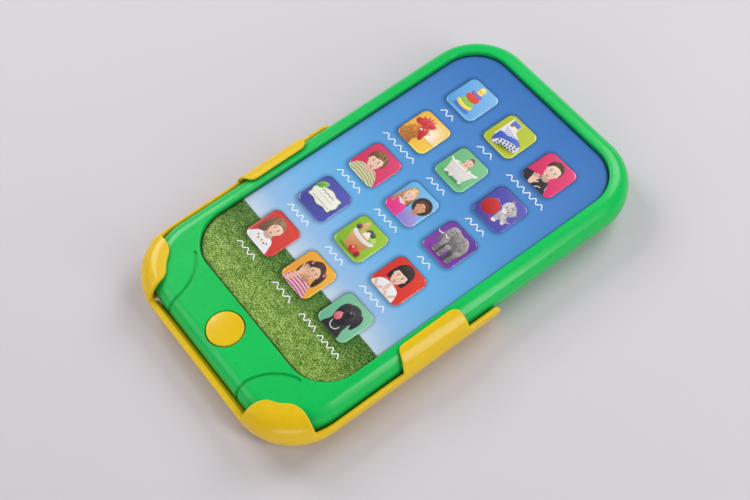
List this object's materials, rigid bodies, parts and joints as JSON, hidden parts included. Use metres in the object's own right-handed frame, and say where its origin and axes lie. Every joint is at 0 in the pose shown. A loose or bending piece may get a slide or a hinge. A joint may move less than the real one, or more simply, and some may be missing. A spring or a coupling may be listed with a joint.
{
  "type": "kids toy tablet",
  "caption": "Child's toy tablet: a rounded pad with a recessed printed face of raised picture keys and a round home button, held in a slide-on carry cradle.",
  "frame": {"origin": "middle of the base of the whole toy, on the surface it lies on", "axes": "+X across the pad to its right, +Y from the home button to the top edge, +Z out of the picture face"},
  "size_m": [0.134, 0.221, 0.0232],
  "materials": {
    "green_plastic": "smooth satin gloss",
    "yellow_plastic": "smooth satin",
    "printed_film": "printed, glossy",
    "grey_silicone": "matte",
    "clear_laminate": "glossy",
    "circuit_board": "satin solder mask",
    "white_plastic": "matte",
    "black_resin": "satin",
    "screw_steel": "zinc plated",
    "speaker_film": "satin",
    "magnet_iron": "zinc plated",
    "nickel": "nickel plated",
    "battery_jacket": "gloss print",
    "red_wire": "satin",
    "black_wire": "satin",
    "grey_wire": "satin"
  },
  "bodies": {
    "pad": {"front_housing": "green_plastic", "rear_housing": "green_plastic", "overlay_film": "printed_film", "housing_screws": "screw_steel", "key_pads": "grey_silicone", "membrane_sheet": "clear_laminate", "membrane_tail": "clear_laminate", "home_dome": "grey_silicone", "main_board": "circuit_board", "tail_connector": "white_plastic", "sound_chip": "black_resin", "board_components": "black_resin", "board_screws": "screw_steel", "speaker_frame": "screw_steel", "speaker_cone": "speaker_film", "speaker_magnet": "magnet_iron", "power_switch_body": "black_resin", "battery_springs": "nickel", "battery_plates": "nickel", "battery_cell_1": "battery_jacket", "battery_cell_2": "battery_jacket", "battery_cell_3": "battery_jacket", "battery_lead_red": "red_wire", "battery_lead_black": "black_wire", "speaker_leads": "grey_wire", "switch_leads": "grey_wire"},
    "cradle": {"carry_cradle": "yellow_plastic"},
    "home_button": {"home_button": "yellow_plastic"},
    "power_switch": {"power_switch_knob": "yellow_plastic"},
    "battery_door": {"battery_door": "green_plastic"},
    "battery_door_screw": {"battery_door_screw": "screw_steel"},
    "picture_key_01": {"picture_key_01": "printed_film"},
    "picture_key_02": {"picture_key_02": "printed_film"},
    "picture_key_03": {"picture_key_03": "printed_film"},
    "picture_key_04": {"picture_key_04": "printed_film"},
    "picture_key_05": {"picture_key_05": "printed_film"},
    "picture_key_06": {"picture_key_06": "printed_film"},
    "picture_key_07": {"picture_key_07": "printed_film"},
    "picture_key_08": {"picture_key_08": "printed_film"},
    "picture_key_09": {"picture_key_09": "printed_film"},
    "picture_key_10": {"picture_key_10": "printed_film"},
    "picture_key_11": {"picture_key_11": "printed_film"},
    "picture_key_12": {"picture_key_12": "printed_film"},
    "picture_key_13": {"picture_key_13": "printed_film"},
    "picture_key_14": {"picture_key_14": "printed_film"},
    "picture_key_15": {"picture_key_15": "printed_film"}
  },
  "joints": [
    {"name": "cradle_slide", "type": "slide", "parent": "pad", "child": "cradle", "axis": [0, -1, 0], "range_m": [0, 0.125]},
    {"name": "home_press", "type": "slide", "parent": "pad", "child": "home_button", "axis": [0, 0, -1], "range_m": [0, 0.0012], "stiffness_N_per_m": 600, "springref_m": -0.001},
    {"name": "power_slide", "type": "slide", "parent": "pad", "child": "power_switch", "axis": [1, 0, 0], "range_m": [0, 0.005]},
    {"name": "battery_door_swing", "type": "hinge", "parent": "pad", "child": "battery_door", "pos_m": [0, 0.0612, 0.0021], "axis": [1, 0, 0], "range_deg": [0, 70]},
    {"name": "battery_door_screw_turn", "type": "hinge", "parent": "battery_door", "child": "battery_door_screw", "pos_m": [0, 0.0206, 0.005], "axis": [0, 0, 1], "continuous": true},
    {"name": "picture_key_01_press", "type": "slide", "parent": "pad", "child": "picture_key_01", "axis": [0, 0, -1], "range_m": [0, 0.0005], "stiffness_N_per_m": 1000, "springref_m": -0.0005},
    {"name": "picture_key_02_press", "type": "slide", "parent": "pad", "child": "picture_key_02", "axis": [0, 0, -1], "range_m": [0, 0.0005], "stiffness_N_per_m": 1000, "springref_m": -0.0005},
    {"name": "picture_key_03_press", "type": "slide", "parent": "pad", "child": "picture_key_03", "axis": [0, 0, -1], "range_m": [0, 0.0005], "stiffness_N_per_m": 1000, "springref_m": -0.0005},
    {"name": "picture_key_04_press", "type": "slide", "parent": "pad", "child": "picture_key_04", "axis": [0, 0, -1], "range_m": [0, 0.0005], "stiffness_N_per_m": 1000, "springref_m": -0.0005},
    {"name": "picture_key_05_press", "type": "slide", "parent": "pad", "child": "picture_key_05", "axis": [0, 0, -1], "range_m": [0, 0.0005], "stiffness_N_per_m": 1000, "springref_m": -0.0005},
    {"name": "picture_key_06_press", "type": "slide", "parent": "pad", "child": "picture_key_06", "axis": [0, 0, -1], "range_m": [0, 0.0005], "stiffness_N_per_m": 1000, "springref_m": -0.0005},
    {"name": "picture_key_07_press", "type": "slide", "parent": "pad", "child": "picture_key_07", "axis": [0, 0, -1], "range_m": [0, 0.0005], "stiffness_N_per_m": 1000, "springref_m": -0.0005},
    {"name": "picture_key_08_press", "type": "slide", "parent": "pad", "child": "picture_key_08", "axis": [0, 0, -1], "range_m": [0, 0.0005], "stiffness_N_per_m": 1000, "springref_m": -0.0005},
    {"name": "picture_key_09_press", "type": "slide", "parent": "pad", "child": "picture_key_09", "axis": [0, 0, -1], "range_m": [0, 0.0005], "stiffness_N_per_m": 1000, "springref_m": -0.0005},
    {"name": "picture_key_10_press", "type": "slide", "parent": "pad", "child": "picture_key_10", "axis": [0, 0, -1], "range_m": [0, 0.0005], "stiffness_N_per_m": 1000, "springref_m": -0.0005},
    {"name": "picture_key_11_press", "type": "slide", "parent": "pad", "child": "picture_key_11", "axis": [0, 0, -1], "range_m": [0, 0.0005], "stiffness_N_per_m": 1000, "springref_m": -0.0005},
    {"name": "picture_key_12_press", "type": "slide", "parent": "pad", "child": "picture_key_12", "axis": [0, 0, -1], "range_m": [0, 0.0005], "stiffness_N_per_m": 1000, "springref_m": -0.0005},
    {"name": "picture_key_13_press", "type": "slide", "parent": "pad", "child": "picture_key_13", "axis": [0, 0, -1], "range_m": [0, 0.0005], "stiffness_N_per_m": 1000, "springref_m": -0.0005},
    {"name": "picture_key_14_press", "type": "slide", "parent": "pad", "child": "picture_key_14", "axis": [0, 0, -1], "range_m": [0, 0.0005], "stiffness_N_per_m": 1000, "springref_m": -0.0005},
    {"name": "picture_key_15_press", "type": "slide", "parent": "pad", "child": "picture_key_15", "axis": [0, 0, -1], "range_m": [0, 0.0005], "stiffness_N_per_m": 1000, "springref_m": -0.0005}
  ]
}
